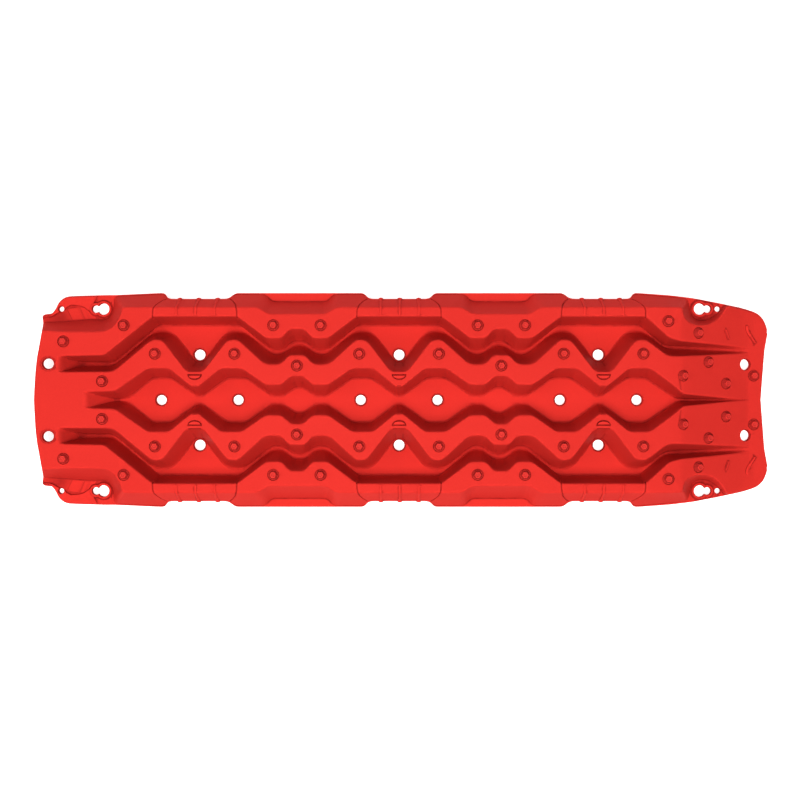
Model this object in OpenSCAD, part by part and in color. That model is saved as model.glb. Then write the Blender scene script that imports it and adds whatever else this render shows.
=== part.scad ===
// Vehicle recovery board: a ribbed, moulded traction board that is pushed under a spinning wheel.
// +X runs to the nose, the ramp that the tyre climbs first. +Y is the left side. +Z is up.
// The origin is on the ground, under the middle of the board.

/* [Board] */
// Overall length of the board
board_length = 1086; // [900:1:1300]
// Overall width over the two side flanges
board_width = 320; // [260:1:400]
// Height of the flat deck above the ground, without the studs
deck_z = 52; // [44:1:70]
// Height of the top face of the valley floors above the ground
floor_z = 10; // [8:1:14]
// Thickness of the moulded skin
skin = 4; // [3:0.5:5]
// Distance between the centres of neighbouring bays
bay_pitch = 298; // [290:1:306]

/* [Side grips] */
// Height of the skirt's lower edge above the ground at a hand grip
grip_z = 24; // [18:1:28]
// Distance from the board's centre line to the skirt edge at a hand grip
grip_y = 150; // [148:1:154]

/* [Traction studs] */
// Width across the corners of a stud's hexagonal foot
stud_foot_d = 14.4; // [11:0.2:16]
// Width across the corners of a stud's flat tip
stud_tip_d = 9.8; // [7:0.2:11]
// Height of a stud above the deck
stud_h = 6; // [4:0.5:8]
// Diameter of a stud's shank
shank_d = 7; // [5:0.5:8]
// Diameter of the barb that holds the stud under the deck
barb_d = 9.6; // [8.4:0.2:11]

/* [Holes] */
// Diameter of the round end of a fixing keyhole
keyhole_d = 17.4; // [14:0.2:20]
// Width of the keyhole's narrow slot
keyslot_d = 11.6; // [9:0.2:13]
// Distance from the keyhole's round end to the end of its slot
keyslot_run = 11.3; // [9:0.1:14]
// Diameter of the leash holes in the corners
leash_d = 8; // [6:0.5:10]
// Diameter of the hand and tether holes in the tail
tail_hole_d = 15; // [12:0.5:18]
// Diameter of the hand and tether holes in the nose
nose_hole_d = 16; // [12:0.5:18]
// Diameter of the drain holes in the side pockets
pocket_hole_d = 16; // [12:0.5:18]
// Diameter of the drain holes in the centre channel
channel_hole_d = 15; // [12:0.5:18]

/* [Underside] */
// Thickness of a ground cleat along the board
cleat_t = 5; // [4:0.5:8]

/* [Hidden] */
KX = board_length / 1086;        // the point tables below are drawn for a board of 1086 by 320
KY = board_width / 320;
FLANGE_Z = floor_z - 2;          // top face of the thin side flange and of the corner shelves
RAMP_FROM = 400;                 // the deck starts to fall towards the nose here
RAMP_TO = 512;                   // and is down at floor level here
WALL_SHIFT = 3;                  // sideways offset of the inner skin along a valley wall
SKIRT_SHIFT = 2.3;               // the same along the shallower outer wall
TAIL_ARC_R = 440;                // plan radius of the tail edge
NOSE_ARC_R = 470;                // plan radius of the hollow nose edge
NOSE_TIP_Y = 100;                // the nose reaches furthest forward at this distance from the middle
END_X = 543;                     // both ends are this far from the origin
SKIRT_DRAFT = 0.8;               // the tail lip leans out by this much at its foot
TAIL_LIP = 14;                   // how far the lip of the tail edge hangs down; it is open below
VALLEY_START = 5;                // the station at which the two valleys begin
GROOVE_END = 495;                // the centre channel runs out on the ramp here
BAYS = [-9 - bay_pitch, -9, -9 + bay_pitch];
MIDS = [-9 - bay_pitch / 2, -9 + bay_pitch / 2];
EPS = 0.02;

// Heights: D deck, F valley floor, S side flange. They keep the tables below short.
D = deck_z;
F = floor_z;
S = FLANGE_Z;
G = grip_z;

// The board is a loft over stations from tail to nose. Each station has ten points on the left
// half, from the flange to the centre line: flange edge, wall foot, wall top, then the outer
// valley (top, floor, floor, top), the ridge's inner edge, the channel floor and the centre.

// One half of a bay, from the bay's centre to the middle between two bays. x is from the centre.
HALF_BAY = [
    [[0, grip_y, G], [0, grip_y - 1.5, G + 2], [0, 135, D], [0, 122, D], [0, 113, F],
     [0, 57.5, F], [0, 41.5, D], [0, 20.5, D], [0, 7, F], [0, 0, F]],
    [[7, grip_y, G], [7, grip_y - 1.5, G + 2], [7, 135, D], [7, 122, D], [7, 113, F],
     [7, 57.5, F], [12.5, 41.5, D], [6, 20.5, D], [4, 7, F], [4, 0, F]],
    [[44.5, grip_y, G], [44.5, grip_y - 1.5, G + 2], [44.5, 135, D], [40, 122, D], [40, 113, F],
     [34.5, 95.5, F], [45, 84, D], [38, 46.5, D], [42, 34, F], [42, 0, F]],
    [[53, 160, S], [53, 158.5, S], [53, 135, D], [52, 122, D], [52, 113, F],
     [48, 101, F], [52, 87.5, D], [52, 46.5, D], [55, 34, F], [55, 0, F]],
    [[62, 160, S], [62, 158.5, S], [62, 135, D], [61.5, 122, D], [60, 113, F],
     [68, 101, F], [63, 87.5, D], [68, 46.5, D], [70, 34, F], [70, 0, F]],
    [[96, 160, S], [98, 158.5, S], [91, 135, D], [103.5, 90.5, D], [108.5, 75, F],
     [108, 68, F], [102.5, 51.5, D], [103, 22.5, D], [108, 7, F], [108, 0, F]],
    [[107, 160, S], [107, 147, S], [107, 125, D], [126.5, 90.5, D], [124, 75, F],
     [123, 68, F], [125.5, 51.5, D], [126, 22.5, D], [124, 7, F], [124, 0, F]],
    [[135, 160, S], [135, 147, S], [135, 125, D], [139, 104, D], [140, 88, F],
     [143, 81, F], [136.5, 65, D], [141, 35.5, D], [143, 19.5, F], [143, 0, F]],
    [[bay_pitch / 2, 160, S], [bay_pitch / 2, 147, S], [bay_pitch / 2, 125, D],
     [bay_pitch / 2, 104, D], [bay_pitch / 2, 88, F], [bay_pitch / 2, 81, F],
     [bay_pitch / 2, 65, D], [bay_pitch / 2, 35.5, D], [bay_pitch / 2, 19.5, F],
     [bay_pitch / 2, 0, F]]
];

function tail_x(y) = SKIRT_DRAFT - END_X + TAIL_ARC_R - sqrt(TAIL_ARC_R * TAIL_ARC_R - y * y);
function nose_x(y) = END_X - (NOSE_TIP_Y * NOSE_TIP_Y - y * y) / (2 * NOSE_ARC_R);
function ramp_z(x) = x < RAMP_FROM ? D
    : x < RAMP_TO ? D - (x - RAMP_FROM) * (D - F) / (RAMP_TO - RAMP_FROM)
    : F - (x - RAMP_TO) * (F - S) / (END_X - RAMP_TO);
function mix(a, b, t) = a + (b - a) * t;

// The tail: a flat plate with a corner shelf on each side. The valleys and the channel end here.
// Its edge has a short lip, and below that the tail is open, so that boards can nest.
PLATE_Y = [64, 58, 48, 40.5, 12.5, 8, 0];
function plate_row(x) = [for (y = PLATE_Y) [x, y, D]];
TAIL_PLATE = concat([[-541.8, 124.5, 14], [-538.8, 114, 20.5], [-530.5, 101, D]],
    [for (y = PLATE_Y) [tail_x(y), y, D]]);
TAIL_SKIRT = [for (p = TAIL_PLATE) [p[0] - SKIRT_DRAFT, p[1], max(skin, p[2] - TAIL_LIP)]];
TAIL = [
    concat([[-538.5, 128.2, 12.5], [-534, 116, 19], [-526, 100.8, D]], plate_row(-530)),
    concat([[-526.5, 129, 11], [-524, 116, 15], [-518, 100.5, D]], plate_row(-522)),
    concat([[-522.5, 137, 9], [-515, 117, 11], [-512, 100, D]], plate_row(-514)),
    [[-518.5, 147, S], [-505, 118, 9], [-505, 99.5, D], [-504, 64, D], [-504, 63, D],
     [-504, 41.5, D], [-504, 40.8, D], [-504, 12.5, D], [-504, 8, D], [-504, 0, D]],
    [[-508, 155, S], [-490, 119, S], [-490, 99, D], [-492, 64.4, D], [-484.5, 57.5, F],
     [-484.5, 50, F], [-490, 40.8, D], [-488, 12.3, D], [-488, 9, D], [-488, 0, D]],
    [[-485, 156, S], [-470, 120.5, S], [-467, 99, D], [-467, 65, D], [-467, 57, F],
     [-467, 50.4, F], [-467, 41, D], [-466, 12.2, D], [-466, 11.6, D], [-466, 0, D]],
    [[-465, 156.5, S], [-449, 120, S], [-437, 99.7, D], [-450, 65.3, D], [-450, 56.7, F],
     [-450, 50.6, F], [-445, 41, D], [-445, 12.6, D], [-431, 1.5, F], [-431, 0, F]]
];
// Where the two diagonals of bay 1 start, and the three stations along them, round the shelf.
TAIL_TURN = [[-439, 65.6, D], [-435, 56.4, F], [-435, 50.7, F], [-426, 41.1, D],
    [-424, 13.1, D], [-414, 3.5, F], [-414, 0, F]];
SHELF_TURN = [
    [[-452, 157, S], [-442.5, 123.5, S], [-423.5, 108, D]],
    [[-443, 157, S], [-437, 134, S], [-414.5, 124, D]],
    [[-434, 157, S], [-435.5, 155.5, S], [-412, 135, D]]
];

// The nose: the deck falls along the ramp, with a round shelf for the keyhole on each side.
NOSE_TURN = [[402, 86, D], [402, 81.5, F], [402, 75.5, F], [402, 63.7, D], [406, 9, D],
    [406.5, 2.2, F], [406.5, 0, F]];
NOSE_TIP = [[RAMP_TO, 78.5, F], [RAMP_TO, 75.6, F], [RAMP_TO, 71.2, F], [RAMP_TO, 69.6, F],
    [GROOVE_END, 0.9, ramp_z(GROOVE_END)], [GROOVE_END, 0.5, ramp_z(GROOVE_END)],
    [GROOVE_END, 0, ramp_z(GROOVE_END)]];
NOSE_SHELF = [
    [[430, 152.6, S], [425.5, 136, F], [406, 122.5, D]],
    [[437, 151.3, S], [428.5, 125, F], [413.5, 113.5, D]],
    [[445, 149.8, S], [437, 118.8, F], [428, 109.5, D]],
    [[453, 148.2, S], [451, 119, F], [447, 110.5, D]],
    [[461, 146.7, S], [463, 125.5, F], [462, 118.5, D]],
    [[469, 145.1, S], [471, 134.5, F], [472, 130, D]],
    [[479, 143, S], [478.5, 142, S], [478, 141, D]],
    [[504, 137.7, S], [503.5, 136.7, S], [503, 135.7, D]]
];
NOSE_EDGE = [[526, 130.7], [536, 121.7], [541, 110]];

function on_ramp(p) = [p[0], p[1], p[2] == D ? ramp_z(p[0]) : p[2]];
function to_the_tip(t) = [for (k = [0 : 6])
    let (p = mix(NOSE_TURN[k], NOSE_TIP[k], t)) NOSE_TURN[k][2] == D ? [p[0], p[1], ramp_z(p[0])] : p];
function past_the_tip(t) = [for (k = [0 : 6])
    let (p = NOSE_TIP[k], x = mix(max(p[0], RAMP_TO), nose_x(p[1]), t)) [x, p[1], ramp_z(x)]];
function nose_wall(p) = [[p[0], p[1], S], [p[0] - 1, p[1] - 1, S + 0.4],
    [p[0] - 2, p[1] - 2, max(ramp_z(p[0] - 2), S + 0.8)]];
NOSE = concat(
    [[[400, 156.3, S], [424, 152, S], [404, 135, D], [384.5, 91, D], [387, 82, F],
      [387, 76.5, F], [383, 63.7, D], [387, 24.5, D], [387, 15.5, F], [387, 0, F]]],
    [for (j = [0 : 7]) concat([for (p = NOSE_SHELF[j]) on_ramp(p)], to_the_tip(j / 8))],
    [for (j = [0 : 2]) concat(nose_wall(NOSE_EDGE[j]), past_the_tip(j / 3))],
    [concat([[END_X, NOSE_TIP_Y, S], [nose_x(98.5), 98.5, S + 0.1], [nose_x(97), 97, S + 0.2]],
            past_the_tip(1))]
);

function shifted(station, dx, turn) = [for (p = station) [dx + turn * p[0], p[1], p[2]]];
function half(i, turn, stations) = [for (j = stations) shifted(HALF_BAY[j], BAYS[i], turn)];
function turn_stations() = [for (j = [0 : 2])
    concat(SHELF_TURN[j], mix(TAIL_TURN, [for (k = [3 : 9]) shifted(HALF_BAY[4], BAYS[0], -1)[k]], j / 3))];

STATIONS = concat(
    [TAIL_SKIRT, TAIL_PLATE], TAIL, turn_stations(),
    half(0, -1, [4 : -1 : 1]), half(0, 1, [0 : 8]),
    half(1, -1, [7 : -1 : 1]), half(1, 1, [0 : 8]),
    half(2, -1, [7 : -1 : 1]), half(2, 1, [0 : 4]),
    NOSE
);
N = len(STATIONS);

// How far the inner skin is set off sideways from each of the ten edges.
SIDE_SHIFT = [0, -SKIRT_SHIFT, -SKIRT_SHIFT, WALL_SHIFT, WALL_SHIFT,
    -WALL_SHIFT, -WALL_SHIFT, WALL_SHIFT, WALL_SHIFT, 0];

function unit2(v) = let (n = norm(v)) n < EPS ? [0, 0] : v / n;
function left_of(a, b) = let (u = unit2([b[0] - a[0], b[1] - a[1]])) [-u[1], u[0]];
function mitre(k, j) =
    let (a = left_of(STATIONS[max(j - 1, 0)][k], STATIONS[max(j, 1)][k]),
         b = left_of(STATIONS[min(j, N - 2)][k], STATIONS[min(j + 1, N - 1)][k]))
    (a + b) / max(1 + a * b, 0.6);

function under(k, j) =
    let (p = STATIONS[j][k], m = mitre(k, j) * SIDE_SHIFT[k])
    j == 0 ? [p[0] + skin, p[1], p[2]]
    : j == 1 ? [p[0] + skin, p[1], p[2] - skin]
    : [p[0] + m[0] + (tail_end(k, j) ? -WALL_SHIFT : 0), p[1] + m[1], p[2] - skin];
function tail_end(k, j) = (k == 4 || k == 5) && (j == VALLEY_START || j == VALLEY_START + 1);

function both_sides(left) = concat(left, [for (k = [8 : -1 : 0]) [left[k][0], -left[k][1], left[k][2]]]);
function sized(p) = [p[0] * KX, p[1] * KY, p[2]];
TOP = [for (j = [0 : N - 1]) for (p = both_sides(STATIONS[j])) sized(p)];
UNDER = [for (j = [0 : N - 1]) for (p = both_sides([for (k = [0 : 9]) under(k, j)])) sized(p)];
R = 19;                          // points across the whole board
U = N * R;                       // index of the first point of the inner skin

function at(j, k) = j * R + k;
function quad(a, b, c, d) = [[a, b, c], [a, c, d]];
SKIN_FACES = concat(
    [for (j = [0 : N - 2], k = [0 : R - 2])
        for (f = quad(at(j, k), at(j + 1, k), at(j + 1, k + 1), at(j, k + 1))) f],
    [for (j = [0 : N - 2], k = [0 : R - 2])
        for (f = quad(at(j, k), at(j, k + 1), at(j + 1, k + 1), at(j + 1, k))) U * [1, 1, 1] + f],
    [for (j = [0 : N - 2]) for (f = quad(at(j, 0), U + at(j, 0), U + at(j + 1, 0), at(j + 1, 0))) f],
    [for (j = [0 : N - 2], last = R - 1)
        for (f = quad(at(j, last), at(j + 1, last), U + at(j + 1, last), U + at(j, last))) f],
    [for (k = [0 : R - 2]) for (f = quad(at(0, k), at(0, k + 1), U + at(0, k + 1), U + at(0, k))) f],
    [for (k = [0 : R - 2], end = N - 1)
        for (f = quad(at(end, k), U + at(end, k), U + at(end, k + 1), at(end, k + 1))) f]
);

// The studs of the left half: a name, the distance along the board and the distance from its
// centre line. The right half mirrors them.
STUDS = concat(
    [["tail_outer", -498.5, 85.5], ["tail_middle", -410.5, 109], ["tail_inner", -442, 27.5]],
    [for (i = [0 : 2], end = [-1, 1])
        [str("bay_", i + 1, end < 0 ? "_rear" : "_front"), BAYS[i] + end * 58, 67.6]],
    [for (i = [0 : 1], end = [-1, 1])
        [str("rail_", i + 1, end < 0 ? "_rear" : "_front"), MIDS[i] + end * 34.5, 109]],
    [for (i = [0 : 1]) [str("ridge_", i + 1), MIDS[i], 50.2]],
    [["nose_1", 383.5, 115], ["nose_2", 430.5, 98.5], ["nose_3", 447, 56],
     ["nose_4", 406, 35.5], ["nose_5", 476, 24.5], ["nose_6", 521.5, 36.5]]
);
SIDES = [["left", 1], ["right", -1]];
RAMP_TILT = atan((D - F) / (RAMP_TO - RAMP_FROM));
TAIL_KEYHOLE = [-451, 136];
NOSE_KEYHOLE = [440, 136];
TAIL_LEASH = [-514, 136];
NOSE_LEASH = [467, 136];
TAIL_HOLE = [-520.5, 53];
NOSE_HOLE = [508, 53];
POCKET_HOLE_Y = 67.5;
CHANNEL_HOLE_X = 57.5;
LIP = 2.3;                       // width of the raised lip round a hole
LIP_H = 1;                       // and its height
KEY_RIM = 4.4;                   // width of the rim round a keyhole
TAIL_RIM_H = 3;                  // its height on the tail's shelves
NOSE_RIM_H = 2;                  // and on the nose's
SHANK_GAP = 0.1;                 // clearance round a stud's shank
STUD_GRIP = 1;                   // the barb sits this far below the skin
BARB_H = 2.6;                    // length of the barb

// The ground cleats of the left half, as [x, y, width]. Those under a bay count x from its centre.
MIDDLE_CLEAT = [24, 0, 40];
SIDE_CLEAT = [17, 95, 22];
TAIL_CLEAT = [-480, 138, 20];
NOSE_CLEAT = [526, 80, 34];

// Copies its children to both halves of the board.
module both_halves() {
    children();
    mirror([0, 1, 0]) children();
}

// Moves its children to a stud's place, square to the deck or to the ramp.
module at_stud(place, side) {
    on_slope = place[1] > RAMP_FROM && place[1] < RAMP_TO;
    translate([place[1] * KX, side * place[2] * KY, ramp_z(place[1])])
        rotate([0, on_slope ? RAMP_TILT : 0, 0]) children();
}

// The moulded skin itself: ribs, valleys, shelves, ramp and skirts in one sheet.
module moulded_skin() {
    polyhedron(points = concat(TOP, UNDER), faces = SKIN_FACES, convexity = 12);
}

// A disc that stands a little proud of a face at height z, to be drilled through.
module boss(x, y, z, r, proud) {
    translate([x * KX, y * KY, z - skin / 2]) cylinder(r = r, h = skin / 2 + proud, $fn = 48);
}

// A bore right through the board.
module drill(x, y, d) {
    translate([x * KX, y * KY, -1]) cylinder(d = d, h = D + 10, $fn = 48);
}

// A keyhole: a round end to pass a fixing's head, and a narrower end outboard of it.
module keyhole(place, outboard) {
    drill(place[0], place[1], keyhole_d);
    drill(place[0] + outboard * keyslot_run, place[1], keyslot_d);
}

// A cleat under the board, from the ground up into a floor whose underside is at height z.
module cleat(x, y, width, z) {
    translate([x * KX - cleat_t / 2, y * KY - width / 2, 0]) cube([cleat_t, width, z + skin / 2]);
}

// The raised rim of a keyhole on a face at height z.
module key_rim(place, outboard, z, proud) {
    boss(place[0], place[1], z, keyhole_d / 2 + KEY_RIM, proud);
    boss(place[0] + outboard * keyslot_run, place[1], z, keyslot_d / 2 + KEY_RIM, proud);
}

module lips_and_bosses() {
    for (x = BAYS) {
        both_halves() boss(x, POCKET_HOLE_Y, F, pocket_hole_d / 2 + LIP, LIP_H);
        for (end = [-1, 1])
            boss(x + end * CHANNEL_HOLE_X, 0, F, channel_hole_d / 2 + LIP, LIP_H);
    }
    both_halves() {
        boss(TAIL_HOLE[0], TAIL_HOLE[1], D, tail_hole_d / 2 + LIP, LIP_H);
        key_rim(TAIL_KEYHOLE, -1, S, TAIL_RIM_H);
        key_rim(NOSE_KEYHOLE, 1, F, NOSE_RIM_H);
    }
}

module cleats() {
    inner = F - skin;
    outer = S - skin;
    for (x = BAYS, end = [-1, 1]) {
        cleat(x + end * MIDDLE_CLEAT[0], MIDDLE_CLEAT[1], MIDDLE_CLEAT[2], inner);
        both_halves() cleat(x + end * SIDE_CLEAT[0], SIDE_CLEAT[1], SIDE_CLEAT[2], inner);
    }
    both_halves() {
        cleat(TAIL_CLEAT[0], TAIL_CLEAT[1], TAIL_CLEAT[2], outer);
        cleat(NOSE_CLEAT[0], NOSE_CLEAT[1], NOSE_CLEAT[2], outer);
    }
}

module holes() {
    for (x = BAYS) {
        both_halves() drill(x, POCKET_HOLE_Y, pocket_hole_d);
        for (end = [-1, 1]) drill(x + end * CHANNEL_HOLE_X, 0, channel_hole_d);
    }
    both_halves() {
        drill(TAIL_HOLE[0], TAIL_HOLE[1], tail_hole_d);
        drill(NOSE_HOLE[0], NOSE_HOLE[1], nose_hole_d);
        drill(TAIL_LEASH[0], TAIL_LEASH[1], leash_d);
        drill(NOSE_LEASH[0], NOSE_LEASH[1], leash_d);
        keyhole(TAIL_KEYHOLE, -1);
        keyhole(NOSE_KEYHOLE, 1);
    }
    for (place = STUDS, side = SIDES)
        at_stud(place, side[1])
            translate([0, 0, -3 * skin]) cylinder(d = shank_d + 2 * SHANK_GAP, h = 4 * skin, $fn = 32);
}

// The one-piece moulding, with its cleats, lips and holes.
module board() {
    color([0.85, 0.12, 0.1])
    difference() {
        union() {
            moulded_skin();
            lips_and_bosses();
            cleats();
        }
        holes();
    }
}

// A stud: a six-sided tip on a foot, a shank through the deck and a barb that grips under it.
module stud() {
    color([0.8, 0.1, 0.09]) {
        cylinder(d1 = stud_foot_d, d2 = stud_tip_d, h = stud_h, $fn = 6);
        translate([0, 0, -skin - STUD_GRIP])
            cylinder(d = shank_d, h = skin + STUD_GRIP + stud_h / 2, $fn = 32);
        translate([0, 0, -skin - BARB_H - SHANK_GAP])
            cylinder(d1 = shank_d - 1, d2 = barb_d, h = BARB_H, $fn = 32);
    }
}

function stud_name(place, side) = str("stud_", place[0], "_", side[0]);

board();
for (place = STUDS, side = SIDES)
    at_stud(place, side[1]) stud();
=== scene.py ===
# %% [markdown]
# # A vehicle recovery board
# This board is pushed under a spinning wheel in sand, mud or snow. It is one red moulding with
# six-sided studs pressed into its deck. The shape is all folds: a thin skin goes up over ridges
# and down into zigzag valleys, so it is stiff and light. Everything below works in metres, in
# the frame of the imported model: +X runs to the ramped nose, +Y is the left side and +Z is up.

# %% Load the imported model
import math

import bmesh
import bpy
import numpy as np
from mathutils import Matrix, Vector
from mathutils.bvhtree import BVHTree


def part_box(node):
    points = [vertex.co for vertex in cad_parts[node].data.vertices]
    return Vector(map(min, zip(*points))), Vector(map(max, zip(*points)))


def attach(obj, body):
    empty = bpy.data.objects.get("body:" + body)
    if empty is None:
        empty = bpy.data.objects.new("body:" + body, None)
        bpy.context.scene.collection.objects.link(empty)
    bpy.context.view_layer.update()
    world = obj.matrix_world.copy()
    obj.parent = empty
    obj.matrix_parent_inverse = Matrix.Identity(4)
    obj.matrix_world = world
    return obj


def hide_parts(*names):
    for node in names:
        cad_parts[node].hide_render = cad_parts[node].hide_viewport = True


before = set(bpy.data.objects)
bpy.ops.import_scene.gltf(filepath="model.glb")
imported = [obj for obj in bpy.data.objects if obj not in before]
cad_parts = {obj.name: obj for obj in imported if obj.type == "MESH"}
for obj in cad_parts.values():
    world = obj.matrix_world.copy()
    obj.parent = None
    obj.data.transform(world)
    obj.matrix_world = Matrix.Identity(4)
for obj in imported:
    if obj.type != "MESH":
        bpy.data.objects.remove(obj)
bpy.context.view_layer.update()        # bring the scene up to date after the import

# %% [markdown]
# ## Camera, floor and light
# The board is seen from straight above. The camera stands 1.665 m over it, a little behind its
# middle, which is near enough for the outer walls to show beside the deck. Two large soft lights
# overhead, a fill light on each side and a pale floor give the even light of a studio table.

# %% Camera
MM = 0.001
CAMERA_HEIGHT = 1665 * MM
CAMERA_X = -7.7 * MM
SENSOR = 36.0
VIEW_WIDTH = 1203.5 * MM         # what the picture takes in at floor level

camera_data = bpy.data.cameras.new("camera")
camera_data.sensor_width = SENSOR
camera_data.lens = SENSOR * CAMERA_HEIGHT / VIEW_WIDTH
camera_data.clip_start = 0.01
camera = bpy.data.objects.new("camera", camera_data)
camera.location = (CAMERA_X, 0.0, CAMERA_HEIGHT)
bpy.context.scene.collection.objects.link(camera)
bpy.context.scene.camera = camera
print(f"camera at {CAMERA_HEIGHT:.3f} m with a {camera_data.lens:.1f} mm lens")

# %% Lights
bpy.context.scene.view_settings.view_transform = "Standard"
bpy.context.scene.view_settings.gamma = 0.8        # darkens the slopes and leaves white alone


def soft_light(name, place, size, watts, colour):
    """Add a square area light that looks from place to the board's middle."""
    data = bpy.data.lights.new(name, "AREA")
    data.shape = "SQUARE"
    data.size = size
    data.energy = watts
    data.color = colour
    lamp = bpy.data.objects.new(name, data)
    lamp.location = place
    aim = Vector((0.0, 0.0, 0.0)) - Vector(place)
    lamp.rotation_euler = aim.to_track_quat("-Z", "Y").to_euler()
    bpy.context.scene.collection.objects.link(lamp)


soft_light("overhead_softbox", (0.0, 0.0, 3.0), 2.2, 74.0, (1.0, 0.98, 0.95))
soft_light("key_softbox", (0.0, -1.1, 2.8), 1.0, 70.0, (1.0, 0.98, 0.93))
soft_light("front_fill", (0.0, -2.6, 0.9), 1.6, 14.0, (1.0, 0.86, 1.0))
soft_light("back_fill", (0.0, 2.6, 0.3), 1.4, 25.0, (1.0, 0.84, 1.0))
soft_light("tail_fill", (-2.4, 0.0, 1.8), 1.6, 32.0, (1.0, 0.98, 0.96))
soft_light("nose_fill", (2.4, 0.0, 1.8), 1.6, 12.0, (1.0, 0.96, 0.98))

world = bpy.data.worlds.new("studio")
world.use_nodes = True
world.node_tree.nodes["Background"].inputs["Color"].default_value = (1.0, 1.0, 1.0, 1.0)
world.node_tree.nodes["Background"].inputs["Strength"].default_value = 0.05
bpy.context.scene.world = world

# %% [markdown]
# ## The folded skin as a loft
# The skin could be modelled by pulling faces about by hand, but its folds follow a rule. Walk
# along the board and stop at a *station* wherever a fold changes direction. At each station the
# same ten edges are crossed from the left flange to the centre line: flange edge, wall foot,
# wall top, outer valley (top, floor, floor, top), inner edge of the ridge, channel floor and
# centre. The grid of stations and edges is a *net*. The whole skin is then this net with its
# corners rounded twice: once along the board and once across it.

# %% Driving sizes, in millimetres
low, high = (np.array(corner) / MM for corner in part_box("board"))
LIP_H = 1.0                      # the lips round the holes stand this proud of their faces
DECK = high[2] - LIP_H           # height of the flat deck
FLOOR = 10.0                     # height of the valley floors
FLANGE = FLOOR - 2.0             # height of the side flange and the corner shelves
SKIN = 4.0                       # thickness of the moulding
GRIP_Z = 24.0                    # lower edge of the skirt at a hand grip
GRIP_Y = 150.0                   # and its distance from the centre line
PITCH = 298.0                    # from bay to bay
END_X = high[0]                  # both ends are this far from the middle
HALF_WIDTH = high[1]
BAYS = [-9.0 - PITCH, -9.0, -9.0 + PITCH]
MIDS = [-9.0 - PITCH / 2, -9.0 + PITCH / 2]
RAMP_FROM, RAMP_TO = 400.0, 512.0
TAIL_ARC_R, NOSE_ARC_R, NOSE_TIP_Y = 440.0, 470.0, 100.0
SKIRT_DRAFT = 0.8
print(f"deck at {DECK:.1f} mm, board {2 * END_X:.0f} by {2 * HALF_WIDTH:.0f} mm")


def tail_x(y):
    """The tail edge: a circle of TAIL_ARC_R through its middle, seen from above."""
    return SKIRT_DRAFT - END_X + TAIL_ARC_R - np.sqrt(TAIL_ARC_R ** 2 - y ** 2)


def nose_x(y):
    """The nose edge: a hollow parabola, furthest forward at NOSE_TIP_Y from the middle."""
    return END_X - (NOSE_TIP_Y ** 2 - y ** 2) / (2 * NOSE_ARC_R)


def ramp_z(x):
    """Deck height at x: flat, then a straight fall to floor level, then almost flat again."""
    return np.interp(x, [RAMP_FROM, RAMP_TO, END_X], [DECK, FLOOR, FLANGE])


# %% One half of a bay
D, F, S, G = DECK, FLOOR, FLANGE, GRIP_Z
W = HALF_WIDTH
HP = PITCH / 2
EDGES = 10
GRIP_ROWS = 3                    # the first stations lie within a hand grip
BAY_X = np.array([
    [0, 0, 0, 0, 0, 0, 0, 0, 0, 0],
    [7, 7, 7, 7, 7, 7, 12.5, 6, 4, 4],
    [44.5, 44.5, 44.5, 40, 40, 34.5, 45, 38, 42, 42],
    [53, 53, 53, 52, 52, 48, 52, 52, 55, 55],
    [62, 62, 62, 61.5, 60, 68, 63, 68, 70, 70],
    [96, 98, 91, 103.5, 108.5, 108, 102.5, 103, 108, 108],
    [107, 107, 107, 126.5, 124, 123, 125.5, 126, 124, 124],
    [135, 135, 135, 139, 140, 143, 136.5, 141, 143, 143],
    [HP, HP, HP, HP, HP, HP, HP, HP, HP, HP],
])
BAY_Y = np.array([
    [GRIP_Y, GRIP_Y - 1.5, 135, 122, 113, 57.5, 41.5, 20.5, 7, 0],
    [GRIP_Y, GRIP_Y - 1.5, 135, 122, 113, 57.5, 41.5, 20.5, 7, 0],
    [GRIP_Y, GRIP_Y - 1.5, 135, 122, 113, 95.5, 84, 46.5, 34, 0],
    [W, W - 1.5, 135, 122, 113, 101, 87.5, 46.5, 34, 0],
    [W, W - 1.5, 135, 122, 113, 101, 87.5, 46.5, 34, 0],
    [W, W - 1.5, 135, 90.5, 75, 68, 51.5, 22.5, 7, 0],
    [W, 147, 125, 90.5, 75, 68, 51.5, 22.5, 7, 0],
    [W, 147, 125, 104, 88, 81, 65, 35.5, 19.5, 0],
    [W, 147, 125, 104, 88, 81, 65, 35.5, 19.5, 0],
])
BAY_Z = np.tile([S, S, D, D, F, F, D, D, F, F], (len(BAY_X), 1))
BAY_Z[:GRIP_ROWS, :2] = [G, G + 2]
HALF_BAY = np.stack([BAY_X, BAY_Y, BAY_Z], axis=2)


def half_bay(bay, turn, stations):
    """Stations of half a bay, forward of its centre for turn = 1 and mirrored behind for -1."""
    part = HALF_BAY[stations].copy()
    part[:, :, 0] = BAYS[bay] + turn * part[:, :, 0]
    return part


# %% The tail: a flat plate with a short lip at its edge, and two corner shelves
TAIL_LIP = 14.0
PLATE_Y = np.array([64, 58, 48, 40.5, 12.5, 8, 0])


def plate_row(corner, x):
    """Three points round the corner shelf, then the flat plate at x across to the middle."""
    flat = np.column_stack([np.broadcast_to(x, PLATE_Y.shape), PLATE_Y, np.full(len(PLATE_Y), D)])
    return np.vstack([corner, flat])


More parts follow.
